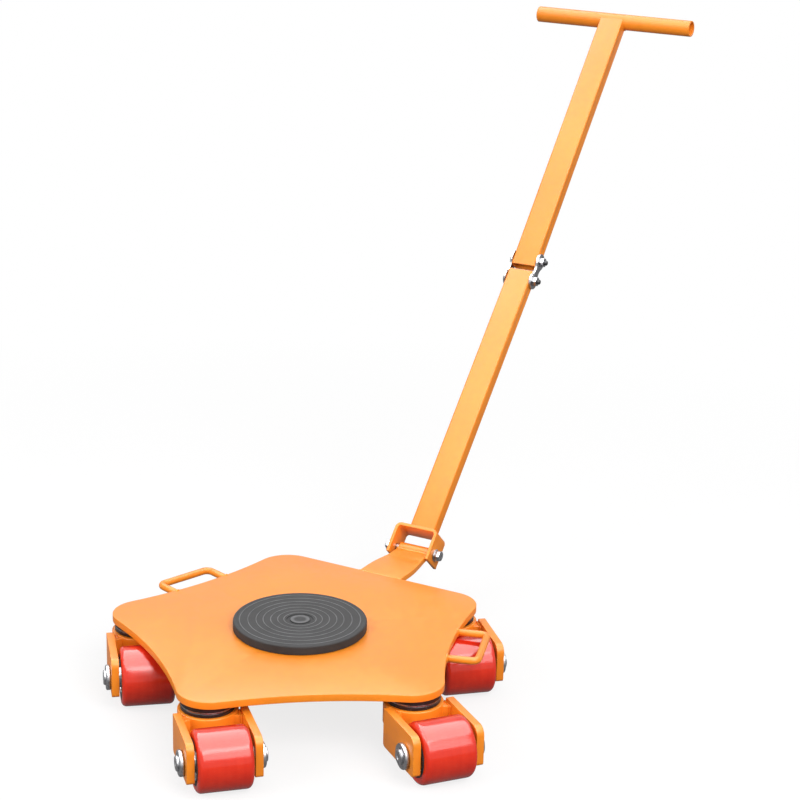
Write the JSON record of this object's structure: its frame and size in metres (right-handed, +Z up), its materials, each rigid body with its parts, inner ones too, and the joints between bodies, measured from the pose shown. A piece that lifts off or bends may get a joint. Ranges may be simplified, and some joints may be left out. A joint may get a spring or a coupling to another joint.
{
  "type": "steerable machine skate",
  "caption": "Five-cornered steel deck on swivelling rollers, with a rotating rubber load pad and a folding tow bar, for steering heavy machines across a floor.",
  "frame": {"origin": "centre of the load pad's top face, on the turntable's axis; the floor is at z = -0.107 m", "axes": "+Z up, out of the load face; +X from the deck's centre towards the tow bar; +Y to the left"},
  "size_m": [1.3064, 0.5833, 0.8021],
  "materials": {
    "orange_paint": "satin powder coat",
    "red_polyurethane": "smooth, slightly translucent",
    "zinc_steel": "bright zinc plate",
    "machined_steel": "dull machined steel",
    "black_steel": "black oxide with bright edges",
    "black_bolt": "dark zinc plate",
    "cast_iron": "as cast, faces turned",
    "bearing_steel": "ground rings, dark shields",
    "pad_rubber": "matt, fine concentric rings",
    "nylon": "matt"
  },
  "bodies": {
    "deck": {"deck_plate": "orange_paint", "tongue": "orange_paint", "tongue_barrel": "orange_paint", "left_handle": "orange_paint", "right_handle": "orange_paint", "kingpins": "machined_steel", "kingpin_nuts": "zinc_steel", "swivel_bearings": "black_steel", "slide_ring": "nylon"},
    "turntable": {"turntable_disc": "machined_steel", "turntable_nut": "zinc_steel", "load_pad": "pad_rubber"},
    "tow_bar": {"clevis": "orange_paint", "tow_bolt": "zinc_steel", "tow_nut": "zinc_steel", "lower_bar": "orange_paint", "fold_bolt_lower": "black_bolt", "fold_nut_lower": "zinc_steel"},
    "fold_links": {"link_plates": "zinc_steel"},
    "upper_tow_bar": {"upper_bar": "orange_paint", "fold_bolt_upper": "black_bolt", "fold_nut_upper": "zinc_steel", "tow_grip": "orange_paint"},
    "fork_front_left": {"crown_front_left": "orange_paint", "cheeks_front_left": "orange_paint", "axle_front_left": "zinc_steel", "axle_collar_front_left": "zinc_steel"},
    "roller_front_left": {"roller_tyre_front_left": "red_polyurethane", "roller_core_front_left": "cast_iron", "roller_bearings_front_left": "bearing_steel"},
    "fork_mid_left": {"crown_mid_left": "orange_paint", "cheeks_mid_left": "orange_paint", "axle_mid_left": "zinc_steel", "axle_collar_mid_left": "zinc_steel"},
    "roller_mid_left": {"roller_tyre_mid_left": "red_polyurethane", "roller_core_mid_left": "cast_iron", "roller_bearings_mid_left": "bearing_steel"},
    "fork_rear": {"crown_rear": "orange_paint", "cheeks_rear": "orange_paint", "axle_rear": "zinc_steel", "axle_collar_rear": "zinc_steel"},
    "roller_rear": {"roller_tyre_rear": "red_polyurethane", "roller_core_rear": "cast_iron", "roller_bearings_rear": "bearing_steel"},
    "fork_mid_right": {"crown_mid_right": "orange_paint", "cheeks_mid_right": "orange_paint", "axle_mid_right": "zinc_steel", "axle_collar_mid_right": "zinc_steel"},
    "roller_mid_right": {"roller_tyre_mid_right": "red_polyurethane", "roller_core_mid_right": "cast_iron", "roller_bearings_mid_right": "bearing_steel"},
    "fork_front_right": {"crown_front_right": "orange_paint", "cheeks_front_right": "orange_paint", "axle_front_right": "zinc_steel", "axle_collar_front_right": "zinc_steel"},
    "roller_front_right": {"roller_tyre_front_right": "red_polyurethane", "roller_core_front_right": "cast_iron", "roller_bearings_front_right": "bearing_steel"}
  },
  "joints": [
    {"name": "turntable_spin", "type": "hinge", "parent": "deck", "child": "turntable", "pos_m": [0, 0, 0], "axis": [0, 0, 1], "continuous": true},
    {"name": "swivel_front_left", "type": "hinge", "parent": "deck", "child": "fork_front_left", "pos_m": [0.18041, 0.13108, -0.042], "axis": [0, 0, 1], "continuous": true},
    {"name": "roll_front_left", "type": "hinge", "parent": "fork_front_left", "child": "roller_front_left", "pos_m": [0.11453, 0.0758, -0.067], "axis": [0.6428, -0.766, 0], "continuous": true},
    {"name": "swivel_mid_left", "type": "hinge", "parent": "deck", "child": "fork_mid_left", "pos_m": [-0.06891, 0.21209, -0.042], "axis": [0, 0, 1], "continuous": true},
    {"name": "roll_mid_left", "type": "hinge", "parent": "fork_mid_left", "child": "roller_mid_left", "pos_m": [-0.13479, 0.15681, -0.067], "axis": [0.6428, -0.766, 0], "continuous": true},
    {"name": "swivel_rear", "type": "hinge", "parent": "deck", "child": "fork_rear", "pos_m": [-0.223, 0, -0.042], "axis": [0, 0, 1], "continuous": true},
    {"name": "roll_rear", "type": "hinge", "parent": "fork_rear", "child": "roller_rear", "pos_m": [-0.28434, -0.06028, -0.067], "axis": [0.7009, -0.7133, 0], "continuous": true},
    {"name": "swivel_mid_right", "type": "hinge", "parent": "deck", "child": "fork_mid_right", "pos_m": [-0.06891, -0.21209, -0.042], "axis": [0, 0, 1], "continuous": true},
    {"name": "roll_mid_right", "type": "hinge", "parent": "fork_mid_right", "child": "roller_mid_right", "pos_m": [-0.12186, -0.27986, -0.067], "axis": [0.788, -0.6157, 0], "continuous": true},
    {"name": "swivel_front_right", "type": "hinge", "parent": "deck", "child": "fork_front_right", "pos_m": [0.18041, -0.13108, -0.042], "axis": [0, 0, 1], "continuous": true},
    {"name": "roll_front_right", "type": "hinge", "parent": "fork_front_right", "child": "roller_front_right", "pos_m": [0.11751, -0.18973, -0.067], "axis": [0.682, -0.7314, 0], "continuous": true},
    {"name": "tow_pivot", "type": "hinge", "parent": "deck", "child": "tow_bar", "pos_m": [0.327, 0, -0.0145], "axis": [0, 1, 0], "range_deg": [-73, 49]},
    {"name": "fold_lower", "type": "hinge", "parent": "tow_bar", "child": "fold_links", "pos_m": [0.6444, 0, 0.32587], "axis": [0, -1, 0], "range_deg": [-90, 90]},
    {"name": "fold_upper", "type": "hinge", "parent": "fold_links", "child": "upper_tow_bar", "pos_m": [0.66759, 0, 0.35074], "axis": [0, -1, 0], "range_deg": [-90, 86]}
  ]
}
